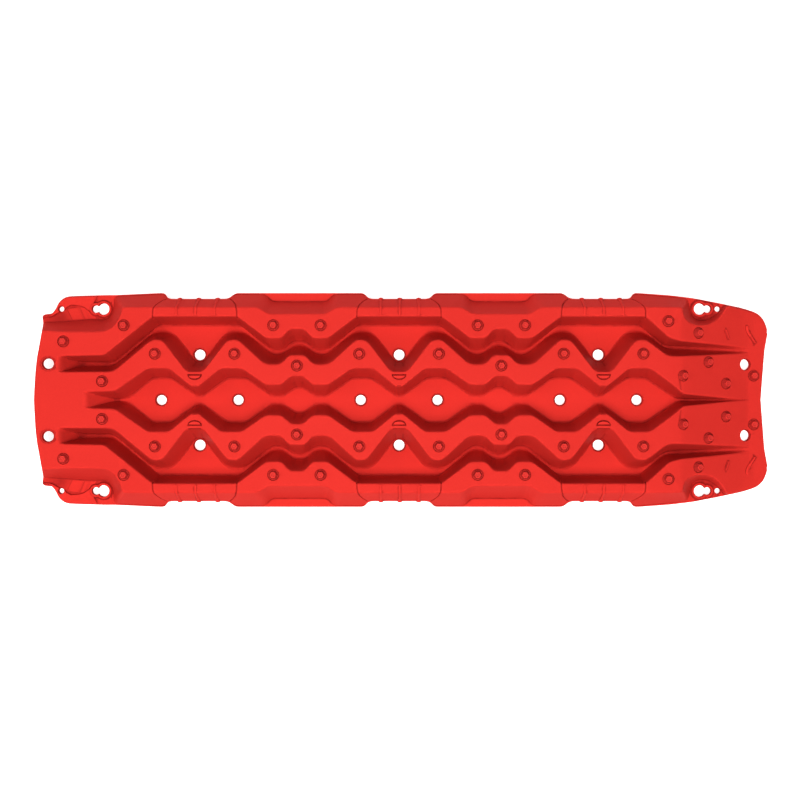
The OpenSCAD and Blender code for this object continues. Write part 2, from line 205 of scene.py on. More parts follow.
tail_plate = plate_row([[-541.8, 124.5, 14], [-538.8, 114, 20.5], [-530.5, 101, D]], tail_x(PLATE_Y))
tail_skirt = tail_plate - [SKIRT_DRAFT, 0, TAIL_LIP]
tail_skirt[:, 2] = np.maximum(tail_skirt[:, 2], SKIN)
TAIL = np.array([
    tail_skirt,
    tail_plate,
    plate_row([[-538.5, 128.2, 12.5], [-534, 116, 19], [-526, 100.8, D]], -530),
    plate_row([[-526.5, 129, 11], [-524, 116, 15], [-518, 100.5, D]], -522),
    plate_row([[-522.5, 137, 9], [-515, 117, 11], [-512, 100, D]], -514),
    [[-518.5, 147, S], [-505, 118, 9], [-505, 99.5, D], [-504, 64, D], [-504, 63, D],
     [-504, 41.5, D], [-504, 40.8, D], [-504, 12.5, D], [-504, 8, D], [-504, 0, D]],
    [[-508, 155, S], [-490, 119, S], [-490, 99, D], [-492, 64.4, D], [-484.5, 57.5, F],
     [-484.5, 50, F], [-490, 40.8, D], [-488, 12.3, D], [-488, 9, D], [-488, 0, D]],
    [[-485, 156, S], [-470, 120.5, S], [-467, 99, D], [-467, 65, D], [-467, 57, F],
     [-467, 50.4, F], [-467, 41, D], [-466, 12.2, D], [-466, 11.6, D], [-466, 0, D]],
    [[-465, 156.5, S], [-449, 120, S], [-437, 99.7, D], [-450, 65.3, D], [-450, 56.7, F],
     [-450, 50.6, F], [-445, 41, D], [-445, 12.6, D], [-431, 1.5, F], [-431, 0, F]],
])
TAIL_TURN = np.array([[-439, 65.6, D], [-435, 56.4, F], [-435, 50.7, F], [-426, 41.1, D],
                      [-424, 13.1, D], [-414, 3.5, F], [-414, 0, F]])
SHELF_TURN = np.array([
    [[-452, 157, S], [-442.5, 123.5, S], [-423.5, 108, D]],
    [[-443, 157, S], [-437, 134, S], [-414.5, 124, D]],
    [[-434, 157, S], [-435.5, 155.5, S], [-412, 135, D]],
])
first_bay_start = half_bay(0, -1, [4])[0, 3:]
TAIL_DIAGONALS = np.array([
    np.vstack([shelf, TAIL_TURN + (first_bay_start - TAIL_TURN) * j / 3])
    for j, shelf in enumerate(SHELF_TURN)
])

# %% The nose: a ramp with a round shelf on each side
NOSE_TURN = np.array([[402, 86, D], [402, 81.5, F], [402, 75.5, F], [402, 63.7, D],
                      [406, 9, D], [406.5, 2.2, F], [406.5, 0, F]])
GROOVE_END = 495.0
NOSE_TIP = np.array([[RAMP_TO, 78.5, F], [RAMP_TO, 75.6, F], [RAMP_TO, 71.2, F],
                     [RAMP_TO, 69.6, F], [GROOVE_END, 0.9, ramp_z(GROOVE_END)],
                     [GROOVE_END, 0.5, ramp_z(GROOVE_END)], [GROOVE_END, 0, ramp_z(GROOVE_END)]])
NOSE_SHELF = np.array([
    [[430, 152.6, S], [425.5, 136, F], [406, 122.5, D]],
    [[437, 151.3, S], [428.5, 125, F], [413.5, 113.5, D]],
    [[445, 149.8, S], [437, 118.8, F], [428, 109.5, D]],
    [[453, 148.2, S], [451, 119, F], [447, 110.5, D]],
    [[461, 146.7, S], [463, 125.5, F], [462, 118.5, D]],
    [[469, 145.1, S], [471, 134.5, F], [472, 130, D]],
    [[479, 143, S], [478.5, 142, S], [478, 141, D]],
    [[504, 137.7, S], [503.5, 136.7, S], [503, 135.7, D]],
])
NOSE_EDGE = np.array([[526, 130.7], [536, 121.7], [541, 110]])


def on_ramp(points):
    """Lower every point that is at deck height to the ramp below it."""
    lowered = [[x, y, ramp_z(x) if z == D else z] for x, y, z in points]
    return np.array(lowered)


def to_the_tip(t):
    """The seven inner points, a share t of the way down the ramp; deck points stay on it."""
    points = NOSE_TURN + (NOSE_TIP - NOSE_TURN) * t
    on_deck = NOSE_TURN[:, 2] == D
    points[on_deck, 2] = ramp_z(points[on_deck, 0])
    return points


def past_the_tip(t):
    """The seven inner points, a share t of the way from the ramp's foot to the nose edge."""
    x = np.maximum(NOSE_TIP[:, 0], RAMP_TO)
    x = x + (nose_x(NOSE_TIP[:, 1]) - x) * t
    return np.column_stack([x, NOSE_TIP[:, 1], ramp_z(x)])


def nose_wall(x, y):
    """The low skirt beside the ramp: flange edge, foot and top."""
    top = max(ramp_z(x - 2), S + 0.8)
    return np.array([[x, y, S], [x - 1, y - 1, S + 0.4], [x - 2, y - 2, top]])


ramp_start = np.array([
    [400, 156.3, S], [424, 152, S], [404, 135, D], [384.5, 91, D], [387, 82, F],
    [387, 76.5, F], [383, 63.7, D], [387, 24.5, D], [387, 15.5, F], [387, 0, F]])
ramp_rows = [np.vstack([on_ramp(shelf), to_the_tip(j / 8)]) for j, shelf in enumerate(NOSE_SHELF)]
tip_rows = [np.vstack([nose_wall(x, y), past_the_tip(j / 3)]) for j, (x, y) in enumerate(NOSE_EDGE)]
corner = [[nose_x(y), y, S + rise] for y, rise in ((NOSE_TIP_Y, 0), (98.5, 0.1), (97, 0.2))]
last_row = np.vstack([corner, past_the_tip(1)])
NOSE = np.array([ramp_start, *ramp_rows, *tip_rows, last_row])

# %% All stations, and the same net for the inner skin
net = np.concatenate([
    TAIL, TAIL_DIAGONALS,
    half_bay(0, -1, [4, 3, 2, 1]), half_bay(0, 1, range(9)),
    half_bay(1, -1, range(7, 0, -1)), half_bay(1, 1, range(9)),
    half_bay(2, -1, range(7, 0, -1)), half_bay(2, 1, range(5)),
    NOSE,
])
print(f"the net has {len(net)} stations of {EDGES} edges on each half")

WALL_SHIFT, SKIRT_SHIFT = 3.0, 2.3
VALLEY_START = 5                 # the station at which the two valleys begin
SIDE_SHIFT = np.array([0, -SKIRT_SHIFT, -SKIRT_SHIFT, WALL_SHIFT, WALL_SHIFT,
                       -WALL_SHIFT, -WALL_SHIFT, WALL_SHIFT, WALL_SHIFT, 0])


def inner_net(net):
    """The inner skin: every point moves down by the skin and sideways by SIDE_SHIFT.

    Sideways is along the mitre of its edge line in plan, (a + b) / (1 + a.b), where a and b are
    the unit normals of the runs before and after it. The two tail stations move forward
    instead, because the skirt there is upright.
    """
    run = np.diff(net[:, :, :2], axis=0)
    run = run / np.maximum(np.linalg.norm(run, axis=2, keepdims=True), 1e-9)
    side = np.stack([-run[:, :, 1], run[:, :, 0]], axis=2)
    before = np.concatenate([side[:1], side])
    after = np.concatenate([side, side[-1:]])
    share = np.maximum(1 + np.sum(before * after, axis=2, keepdims=True), 0.6)
    inner = net.copy()
    inner[:, :, :2] += (before + after) / share * SIDE_SHIFT[None, :, None]
    inner[:, :, 2] -= SKIN
    inner[:2] = net[:2] + [SKIN, 0, 0]
    inner[1, :, 2] -= SKIN
    inner[VALLEY_START:VALLEY_START + 2, 4:6, 0] -= WALL_SHIFT
    return inner


def both_sides(left):
    """Add the right half: the same edges in reverse order, with y turned over."""
    right = left[:, -2::-1] * [1, -1, 1]
    return np.concatenate([left, right], axis=1)


outer = both_sides(net)
inner = both_sides(inner_net(net))

# %% [markdown]
# ## Rounding the net
# A moulded part has no sharp folds: the tool that made it was cut with round cutters, and the
# plastic wouldn't fill a sharp edge. A bevel modifier would have to guess which edges are folds.
# The net already knows, so its corners are rounded by formula. Each corner becomes a short
# parabola between two points a set distance before and after it.

# %% Two helpers that round corners
def round_along(net, cut, step):
    """Round the station corners of a net and fill the straight runs between them.

    At station j, with neighbours A and B, the corner P becomes (1-t)^2 a + 2t(1-t) P + t^2 b,
    where a and b lie towards A and B by the cut, or by 0.45 of that run if it is short. The cut
    is one number or one for every column. A straight run gets a row about every step.
    """
    run = np.diff(net, axis=0)
    length = np.linalg.norm(run, axis=2, keepdims=True)
    cut = np.broadcast_to(cut, net.shape[1])[None, :, None]
    share = np.minimum(cut / np.maximum(length, 1e-9), 0.45)
    rows = [net[:1]]
    for j in range(1, len(net)):
        start = net[j - 1] if j == 1 else net[j - 1] + run[j - 1] * share[j - 1]
        last = j == len(net) - 1
        end = net[j] if last else net[j] - run[j - 1] * share[j - 1]
        longest = np.linalg.norm(end - start, axis=1).max()
        count = max(int(np.ceil(longest / step)), 1)
        fill = np.linspace(0, 1, count + 1)[1:-1, None, None]
        rows.append(start + (end - start) * fill)
        if last:
            rows.append(net[j:])
            continue
        after = net[j] + run[j] * share[j]
        t = np.linspace(0, 1, 5)[:, None, None]
        rows.append((1 - t) ** 2 * end + 2 * t * (1 - t) * net[j] + t ** 2 * after)
    return np.concatenate(rows)


def round_across(rows, cut, arc, fill):
    """Round the corners of closed cross-sections, each a row of corner points.

    Corner k becomes a parabola of arc[k] points, cut off at cut[k] on both sides, or at 0.45 of
    the side if that is short. Side k, from corner k to the next, gets fill[k] points between.
    """
    ahead = np.roll(rows, -1, axis=1) - rows
    length = np.linalg.norm(ahead, axis=2, keepdims=True)
    limit = 0.45 * length
    leave = np.minimum(cut[None, :, None], limit) / np.maximum(length, 1e-9)
    arrive = np.minimum(np.roll(cut, -1)[None, :, None], limit) / np.maximum(length, 1e-9)
    first = rows + ahead * leave
    final = rows + ahead * (1 - arrive)
    columns = []
    for k in range(rows.shape[1]):
        a, p, b = final[:, k - 1], rows[:, k], first[:, k]
        t = np.linspace(0, 1, arc[k])[None, :, None]
        columns.append((1 - t) ** 2 * a[:, None] + 2 * t * (1 - t) * p[:, None] + t ** 2 * b[:, None])
        u = (np.arange(fill[k]) + 1)[None, :, None] / (fill[k] + 1)
        columns.append(b[:, None] + (final[:, k] - b)[:, None] * u)
    return np.concatenate(columns, axis=1)


# %% [markdown]
# The cross-section is a closed loop: over the top from left to right and back underneath. The
# deck edges get a radius of about 3 mm and the valley floors a little more, as on the real
# moulding. The thin flange edge gets hardly any.

# %% Loops of the skin
TOP_CUT = np.array([0.9, 1.6, 3.0, 3.0, 3.4, 3.4, 3.0, 3.0, 3.4, 0.5])
UNDER_CUT = np.array([0.9, 1.4, 2.0, 1.6, 1.8, 1.8, 1.6, 1.6, 1.8, 0.5])
TOP_ARC = np.array([3, 3, 6, 6, 5, 5, 6, 6, 5, 1])
UNDER_ARC = np.array([3, 2, 3, 3, 3, 3, 3, 3, 3, 1])
TOP_FILL = np.ones(EDGES - 1, dtype=int)
UNDER_FILL = np.zeros(EDGES - 1, dtype=int)


def mirrored(values):
    return np.concatenate([values, values[-2::-1]])


def loop_values(top, under):
    return np.concatenate([mirrored(top), mirrored(under)])


def loop_fill(top, under):
    """Points between the corners: over the top, down the edge, back under and up the edge."""
    return np.concatenate([top, top[::-1], [0], under, under[::-1], [0]])


# The valley wall round the pocket holes sweeps in wide curves; the other folds turn tighter.
STATION_CUT = mirrored(np.array([8.0, 8.0, 7.0, 6.0, 6.0, 14.0, 9.0, 6.0, 6.0, 4.5]))
STATION_STEP = 13.0
both_skins = np.concatenate([outer, inner[:, ::-1]], axis=1)
rows = round_along(both_skins, np.concatenate([STATION_CUT, STATION_CUT]), STATION_STEP)

# The nose edge is a half-round bead: its last rows close in on the middle of the skin.
EDGE_R = 1.4
edge_middle = (rows[-1] + rows[-1][::-1]) / 2
bead = []
for angle in np.radians([30, 60, 90]):
    row = rows[-1].copy()
    towards_middle = np.sign(edge_middle[:, 2] - row[:, 2])
    row[:, 0] -= EDGE_R * (1 - np.sin(angle))
    row[:, 2] += towards_middle * EDGE_R * (1 - np.cos(angle))
    bead.append(row)
rows[-1, :, 0] -= EDGE_R
rows = np.concatenate([rows, bead])

loops = round_across(
    rows,
    loop_values(TOP_CUT, UNDER_CUT),
    loop_values(TOP_ARC, UNDER_ARC),
    loop_fill(TOP_FILL, UNDER_FILL),
)
print(f"the skin is {loops.shape[0]} closed loops of {loops.shape[1]} points")

# %% [markdown]
# ## From arrays to a mesh
# A grid of points is a mesh once each small square of it is named as a face. Small solids made
# the same way, such as lips, cleats and ribs, are then joined to the skin with a Boolean, and
# the holes are cut last with a chamfer at their mouths.

# %% Helpers: solids and meshes
def lofted_solid(rings):
    """A closed solid from rings of points: quads between the rings and a face on each end."""
    rings = np.asarray(rings, dtype=float)
    count, around = rings.shape[:2]
    start = np.arange(count - 1)[:, None] * around
    here = np.arange(around)[None, :]
    ahead = (here + 1) % around
    quads = np.stack([start + here, start + ahead, start + around + ahead, start + around + here],
                     axis=2)
    faces = quads.reshape(-1, 4).tolist()
    faces.append(list(range(around))[::-1])
    faces.append([(count - 1) * around + k for k in range(around)])
    return rings.reshape(-1, 3), faces


def joined(solids):
    """One list of points and faces from several solids."""
    points, faces, base = [], [], 0
    for solid_points, solid_faces in solids:
        points.append(solid_points)
        faces.extend([[base + k for k in face] for face in solid_faces])
        base += len(solid_points)
    return np.concatenate(points), faces


def new_piece(name, solid):
    """A mesh object in metres from a solid in millimetres, with its faces pointing outwards."""
    points, faces = solid
    mesh = bpy.data.meshes.new(name)
    mesh.from_pydata((np.asarray(points) * MM).tolist(), [], faces)
    work = bmesh.new()
    work.from_mesh(mesh)
    bmesh.ops.recalc_face_normals(work, faces=work.faces[:])
    work.to_mesh(mesh)
    work.free()
    piece = bpy.data.objects.new(name, mesh)
    bpy.context.scene.collection.objects.link(piece)
    return piece


def combine(piece, solids, operation):
    """Add solids to a piece, or cut them from it, and keep the result as its mesh."""
    tool = new_piece("tool", joined(solids))
    boolean = piece.modifiers.new("combine", "BOOLEAN")
    boolean.operation = operation
    boolean.solver = "MANIFOLD"
    boolean.object = tool
    shaped = piece.evaluated_get(bpy.context.evaluated_depsgraph_get())
    mesh = bpy.data.meshes.new_from_object(shaped)
    piece.modifiers.clear()
    old = piece.data
    piece.data = mesh
    bpy.data.meshes.remove(old)
    bpy.data.objects.remove(tool)
    print(f"{operation.lower()} of {len(solids)} solids: {len(mesh.polygons)} faces")


def turned(profile, centre, sides=48, tilt=0.0):
    """A solid of revolution about +Z, then tilted about +Y.

    The profile is (radius, height) pairs; a radius is one number or one for every side.
    """
    angle = np.linspace(0, 2 * np.pi, sides, endpoint=False)
    radius = np.array([np.broadcast_to(radius, sides) for radius, z in profile], dtype=float)
    x = radius * np.cos(angle)
    y = radius * np.sin(angle)
    z = np.array([[z] for radius, z in profile]) + 0 * x
    rings = np.stack([x * np.cos(tilt) + z * np.sin(tilt), y, z * np.cos(tilt) - x * np.sin(tilt)],
                     axis=2)
    return lofted_solid(rings + np.asarray(centre, dtype=float))


def stacked(outlines, heights):
    """A solid from plan outlines, each N x 2, at the given heights."""
    rings = [np.column_stack([outline, np.full(len(outline), float(z))])
             for outline, z in zip(outlines, heights)]
    return lofted_solid(rings)


def left_and_right(solids):
    """The solids of the left half and their mirror images on the right."""
    right = [(points * [1, -1, 1], [face[::-1] for face in faces]) for points, faces in solids]
    return solids + right


# %% The bare skin
board = new_piece("board_moulding", lofted_solid(loops))
print("skin faces:", len(board.data.polygons))

# %% [markdown]
# ## What stands on the skin
# Lips stiffen the holes, bosses carry the keyholes, and cleats under the board bite into the
# ground. Ribs across the side grips stop a wet glove from slipping. Each is a small solid whose
# foot reaches a little way into the skin, so that the join is clean.

# %% Where everything is
TOUCH = 1.5                      # how far the foot of a raised solid reaches into the skin
TAIL_LEASH, NOSE_LEASH = (-514.0, 136.0), (467.0, 136.0)
TAIL_HOLE, NOSE_HOLE = (-520.5, 53.0), (508.0, 53.0)
POCKET_HOLES = [(x, 67.5) for x in BAYS]
CHANNEL_HOLES = [(x + dx, 0.0) for x in BAYS for dx in (-57.5, 57.5)]
KEYHOLE_R, KEYSLOT_R, KEYSLOT_RUN = 8.7, 5.8, 11.3
LEASH_R, TAIL_HOLE_R, NOSE_HOLE_R, POCKET_HOLE_R, CHANNEL_HOLE_R = 4.0, 7.5, 8.0, 8.0, 7.5
LIP = 2.3                        # width of the lip round a hole
KEYHOLES = [                     # place, direction of the slot, face it lies in, top of its rim
    ((-451.0, 136.0), -1, FLANGE, FLANGE + 3.0),
    ((440.0, 136.0), 1, FLOOR, FLOOR + 2.0),
]
RAMP_TILT = math.atan((DECK - FLOOR) / (RAMP_TO - RAMP_FROM))
GRIP_RIBS = [x + dx for x in BAYS for dx in (-27.0, 1.0, 29.0)]

STUDS = {"tail_outer": (-498.5, 85.5), "tail_middle": (-410.5, 109.0), "tail_inner": (-442.0, 27.5)}
for i, x in enumerate(BAYS, start=1):
    STUDS[f"bay_{i}_rear"] = (x - 58.0, 67.6)
    STUDS[f"bay_{i}_front"] = (x + 58.0, 67.6)
for i, x in enumerate(MIDS, start=1):
    STUDS[f"rail_{i}_rear"] = (x - 34.5, 109.0)
    STUDS[f"rail_{i}_front"] = (x + 34.5, 109.0)
    STUDS[f"ridge_{i}"] = (x, 50.2)
STUDS.update({"nose_1": (383.5, 115.0), "nose_2": (430.5, 98.5), "nose_3": (447.0, 56.0),
              "nose_4": (406.0, 35.5), "nose_5": (476.0, 24.5), "nose_6": (521.5, 36.5)})


def stud_tilt(x):
    """Studs on the ramp stand square to it."""
    return RAMP_TILT if RAMP_FROM < x < RAMP_TO else 0.0


print(f"{2 * len(STUDS)} studs, {2 * (len(POCKET_HOLES) + 4) + len(CHANNEL_HOLES)} round holes")


# %% Solids for the lips, bosses and cleats
def raised_disc(place, z, radius, proud):
    """A disc on the face at height z, with a small fillet at its foot and a round rim."""
    profile = [(radius + 0.5, z - TOUCH), (radius + 0.5, z + 0.02), (radius + 0.12, z + 0.14),
               (radius, z + 0.4), (radius, z + proud - 0.35), (radius - 0.12, z + proud - 0.1),
               (radius - 0.4, z + proud)]
    return turned(profile, (*place, 0.0))


def keyhole_outline(round_r, slot_r):
    """Plan of a keyhole: an arc of round_r about (0, 0) and one of slot_r about (run, 0).

    The circles cross where x = (run^2 + round_r^2 - slot_r^2) / (2 run).
    """
    run, arc = KEYSLOT_RUN, 28
    crossing = (run ** 2 + round_r ** 2 - slot_r ** 2) / (2 * run)
    a = math.acos(crossing / round_r)
    b = math.acos((crossing - run) / slot_r)
    large = np.linspace(a, 2 * np.pi - a, arc)
    small = np.linspace(-b, b, arc)[1:-1]
    return np.concatenate([
        np.column_stack([round_r * np.cos(large), round_r * np.sin(large)]),
        np.column_stack([run + slot_r * np.cos(small), slot_r * np.sin(small)]),
    ])


def keyhole_solid(place, outboard, profile):
    """A keyhole-shaped solid from (growth of the outline, height) pairs."""
    outlines = [keyhole_outline(KEYHOLE_R + grow, KEYSLOT_R + grow) * [outboard, 1] + place
                for grow, z in profile]
    return stacked(outlines, [z for grow, z in profile])


def keyhole_boss(place, outboard, face, top):
    """A raised rim round a keyhole, with a sloping flank."""
    profile = [(5.4, face - TOUCH), (5.4, face + 0.02), (4.9, face + 0.3), (3.5, top - 0.5), (2.9, top)]
    return keyhole_solid(place, outboard, profile)


def rounded_rectangle(length, width, radius):
    """Plan of a rectangle about the origin with corner arcs of the given radius."""
    angle = np.linspace(0, np.pi / 2, 4)
    arcs = []
    for quarter, (sx, sy) in enumerate(((1, 1), (-1, 1), (-1, -1), (1, -1))):
        turn = angle + quarter * np.pi / 2
        centre = [sx * (length / 2 - radius), sy * (width / 2 - radius)]
        arcs.append(np.column_stack([np.cos(turn), np.sin(turn)]) * radius + centre)
    return np.concatenate(arcs)


def cleat(x, y, width, top):
    """A ground cleat from z = 0 up into the underside at top, with drafted sides."""
    thick = 5.0
    sections = [(-1.6, 0.0), (-0.9, 0.2), (-0.5, 0.7), (0.0, top - 1.0), (0.5, top - 0.3),
                (1.4, top), (1.4, top + TOUCH)]
    outlines = [rounded_rectangle(thick + grow, width + grow, 1.6) + [x, y] for grow, z in sections]
    return stacked(outlines, [z for grow, z in sections])


# %% Solids that follow a path
def resampled(path, count):
    """The path as count points at equal distances along it."""
    path = np.asarray(path, dtype=float)
    along = np.concatenate([[0], np.cumsum(np.linalg.norm(np.diff(path, axis=0), axis=1))])
    wanted = np.linspace(0, along[-1], count)
    return np.column_stack([np.interp(wanted, along, path[:, k]) for k in range(3)])


def smoothed(corners, cut, count):
    """A path with its corners rounded, as count points."""
    rounded = round_along(np.asarray(corners, dtype=float)[:, None, :], cut, 2.0)[:, 0]
    return resampled(rounded, count)


def ridge(path, side, width, height):
    """A half-round bead along a path; side is the direction across it, one for every point.

    The section is (w/2 cos a, h sin a) on a foot that is sunk by TOUCH. Over the last half width
    at both ends it shrinks as sqrt(1 - (1 - s)^2), like the end of a pill. The width and height
    are one number or one for every point.
    """
    width = np.broadcast_to(width, len(path))
    height = np.broadcast_to(height, len(path))
    tangent = np.gradient(path, axis=0)
    tangent /= np.linalg.norm(tangent, axis=1, keepdims=True)
    up = np.cross(tangent, side)
    up /= np.linalg.norm(up, axis=1, keepdims=True)
    along = np.concatenate([[0], np.cumsum(np.linalg.norm(np.diff(path, axis=0), axis=1))])
    share = np.clip(np.minimum(along, along[-1] - along) / (width / 2), 0.02, 1)
    swell = np.sqrt(1 - (1 - share) ** 2)
    angle = np.linspace(0, np.pi, 9)
    across = np.concatenate([np.cos(angle), [-1, 1]])[None, :] * (swell * width / 2)[:, None]
    rise = np.concatenate([np.sin(angle), [0, 0]])[None, :] * (swell * height)[:, None]
    sink = np.concatenate([np.zeros(9), [TOUCH, TOUCH]])[None, :]
    rings = path[:, None] + side[:, None] * across[..., None] + up[:, None] * (rise - sink)[..., None]
    return lofted_solid(rings)


def plate(inner_edge, outer_edge):
    """A raised plate between two paths, with rounded edges and its foot sunk in the skin."""
    across = outer_edge - inner_edge
    across /= np.linalg.norm(across, axis=1, keepdims=True)
    section = [(-0.8, 4.0), (-0.3, 1.8), (0.7, 0.3), (1.2, 0.0)]
    near = [inner_edge + across * inset - [0, 0, drop] for inset, drop in section]
    far = [outer_edge - across * inset - [0, 0, drop] for inset, drop in section[::-1]]
    return lofted_solid(np.stack(near + far, axis=1))


# %% The raised solids
PATH_POINTS, BAR_POINTS = 40, 30


def grip_rib(x):
    """A rib that climbs the outer wall from the skirt's edge and crosses the side rail.

    It is wider and higher at its foot: the flare sets in at z = 34 and is full 12 mm lower.
    """
    corners = [(x, GRIP_Y, GRIP_Z - SKIN + 0.3), (x, GRIP_Y, GRIP_Z), (x, GRIP_Y - 1.5, GRIP_Z + 2),
               (x, 135.0, DECK), (x, 122.6, DECK)]
    path = smoothed(corners, 3.0, PATH_POINTS)
    flare = np.clip((34.0 - path[:, 2]) / 12.0, 0, 1) ** 2
    forward = np.tile([1.0, 0.0, 0.0], (PATH_POINTS, 1))
    return ridge(path, forward, 3.9 + 4.5 * flare, 1.2 + 0.9 * flare)


def draped(plan, count):
    """A path in plan laid on the board as it is now, by a ray straight down from above."""
    tree = BVHTree.FromObject(board, bpy.context.evaluated_depsgraph_get())
    flat = resampled([(x, y, 0.0) for x, y in plan], count)
    down = Vector((0, 0, -1))
    for point in flat:
        point[2] = tree.ray_cast(Vector((point[0], point[1], 100.0)) * MM, down)[0].z / MM
    return flat


def flat_bead(corners, width, height):
    """A bead laid on the top of the board, with its corners at the given points in plan."""
    rounded = smoothed([(x, y, 0.0) for x, y in corners], 3.0, BAR_POINTS)
    path = draped(rounded[:, :2], BAR_POINTS)
    tangent = np.gradient(path, axis=0)
    side = np.column_stack([-tangent[:, 1], tangent[:, 0], np.zeros(BAR_POINTS)])
    side /= np.linalg.norm(side, axis=1, keepdims=True)
    return ridge(path, side, width, height)


MOON_LONG, MOON_WIDE, MOON_Y = 9.0, 5.5, 36.2


def half_moon(x, sections):
    """A half-moon inboard of a pocket hole with its flat side outboard, at MOON_Y.

    Its outline is the half ellipse (long cos a, -wide sin a) for a from 0 to pi, grown by the
    first number of each section, which is drawn at the height of the second.
    """
    angle = np.linspace(0, np.pi, 24)
    outlines = []
    for grow, z in sections:
        bow = np.column_stack([(MOON_LONG + grow) * np.cos(angle),
                               -(MOON_WIDE + 2 * grow) * np.sin(angle)])
        outlines.append(bow + [x, MOON_Y + grow])
    return stacked(outlines, [z for grow, z in sections])


PAD = [(0.7, DECK - 2.4), (0.7, DECK - 1.3), (-0.4, DECK + 1.5), (-0.7, DECK + 1.9), (-1.1, DECK + 2.0)]
MOAT = [(0.9, DECK - 1.4), (1.3, DECK - 1.1), (1.7, DECK + 0.02), (1.7, DECK + 3)]
PLATE_H = 2.6                    # how far the corner plates stand above the shelves
corner_inner = smoothed([(-539, 122.6, 17.8), (-527, 124, 15.2), (-518.6, 130, 12.2),
                         (-510, 133.8, 11.2), (-505.5, 138.5, 10.8), (-499.8, 141.7, 10.6),
                         (-486.8, 140.6, 10.6), (-479.3, 138, 10.6), (-472.5, 132.4, 10.6)], 4.0, 60)
corner_outer = smoothed([(-538.2, 127.0, 15.6), (-527.3, 128.2, 13.8), (-521.8, 136.8, 11.6),
                         (-517.5, 146.3, 10.8), (-507.4, 153.9, 10.6), (-485, 155, 10.6),
                         (-460, 155.6, 10.6)], 4.0, 60)

under_floor = FLOOR - SKIN
under_flange = FLANGE - SKIN
combine(board, left_and_right([half_moon(x, MOAT) for x in BAYS]), "DIFFERENCE")

NOSE_BARS = [[(474.0, 105.4), (480.1, 89.3)], [(510.7, 112.3), (510.7, 103.7), (524.2, 83.8)]]
left = [half_moon(x, PAD) for x in BAYS]
left += [raised_disc(place, FLOOR, POCKET_HOLE_R + LIP, LIP_H) for place in POCKET_HOLES]
left += [raised_disc(TAIL_HOLE, DECK, TAIL_HOLE_R + LIP, LIP_H)]
left += [grip_rib(x) for x in GRIP_RIBS]
left += [cleat(x + dx, 95.0, 22.0, under_floor) for x in BAYS for dx in (-17.0, 17.0)]
left += [cleat(-480.0, 138.0, 20.0, under_flange), cleat(526.0, 80.0, 34.0, under_flange)]
left += [flat_bead(bar, 5.6, 2.4) for bar in NOSE_BARS]
middle = [raised_disc(place, FLOOR, CHANNEL_HOLE_R + LIP, LIP_H) for place in CHANNEL_HOLES]
middle += [cleat(x + dx, 0.0, 40.0, under_floor) for x in BAYS for dx in (-24.0, 24.0)]
combine(board, left_and_right(left) + middle, "UNION")

# The corner plates and the keyhole bosses overlap one another, so each pair has its own pass.
combine(board, left_and_right([plate(corner_inner, corner_outer)]), "UNION")
combine(board, left_and_right([keyhole_boss(*keyhole) for keyhole in KEYHOLES]), "UNION")

# %% [markdown]
# ## What is cut from the skin
# Every hole has a small chamfer at both faces. Each stud has a bore for its shank and a shallow
# round seat for its foot, which is what draws the dark ring round it.

# %% Bores, keyholes, stud seats and grip lines
def bore(place, radius, top, bottom, rim=1.7, tilt=0.0, centre_z=0.0):
    """A round hole between the faces at bottom and top, its upper rim dished by the given width.

    The dish falls by twice its width, so its flank is too steep to catch the overhead light and
    draws a dark ring round the hole.
    """
    edge = 0.6
    profile = [(radius + edge, bottom - 3), (radius + edge, bottom), (radius, bottom + edge),
               (radius, top - 2 * rim), (radius + 0.8 * rim, top - 0.3), (radius + rim, top + 0.02),
               (radius + rim, top + 4)]
    return turned(profile, (*place, centre_z), tilt=tilt)


def stud_seat(place):
    """The shank's bore and the seat of the foot, square to the deck or the ramp."""
    x, y = place
    profile = [(3.6, -SKIN - 4), (3.6, -2.0), (8.3, -1.6), (8.5, -0.3), (8.8, 0.02), (8.8, 3.0)]
    return turned(profile, (x, y, ramp_z(x)), sides=36, tilt=stud_tilt(x))


GROOVE_R = 1.2


def grip_groove(x, towards):
    """The groove where a hand grip ends: over the side rail, then down the wall in a curve.

    It is a round bar of GROOVE_R along the path, drawn as circles square to it.
    """
    plan = [(-61.5, 119.5), (-61.2, 129), (-60.5, 134), (-57.5, 141), (-52.5, 146.2), (-47, 150.2)]
    path = draped([(x - towards * px, py) for px, py in plan], PATH_POINTS)
    tangent = np.gradient(path, axis=0)
    tangent /= np.linalg.norm(tangent, axis=1, keepdims=True)
    side = np.cross(tangent, [0.3, 0.1, 1.0])
    side /= np.linalg.norm(side, axis=1, keepdims=True)
    up = np.cross(side, tangent)
    angle = np.linspace(0, 2 * np.pi, 8, endpoint=False)
    return lofted_solid(path[:, None] + GROOVE_R * (side[:, None] * np.cos(angle)[None, :, None]
                                                    + up[:, None] * np.sin(angle)[None, :, None]))


left = [bore(place, POCKET_HOLE_R, FLOOR + LIP_H, under_floor) for place in POCKET_HOLES]
left += [
    bore(TAIL_HOLE, TAIL_HOLE_R, DECK + LIP_H, DECK - SKIN),
    bore(NOSE_HOLE, NOSE_HOLE_R, 0.0, -SKIN, 1.0, RAMP_TILT, ramp_z(NOSE_HOLE[0])),
    bore(TAIL_LEASH, LEASH_R, FLANGE + PLATE_H, under_flange, 0.8),
    bore(NOSE_LEASH, LEASH_R, FLOOR, under_floor, 0.8),
]
left += [stud_seat(place) for place in STUDS.values()]
left += [grip_groove(x, towards) for x in BAYS for towards in (1, -1)]
middle = [bore(place, CHANNEL_HOLE_R, FLOOR + LIP_H, under_floor) for place in CHANNEL_HOLES]
combine(board, left_and_right(left) + middle, "DIFFERENCE")


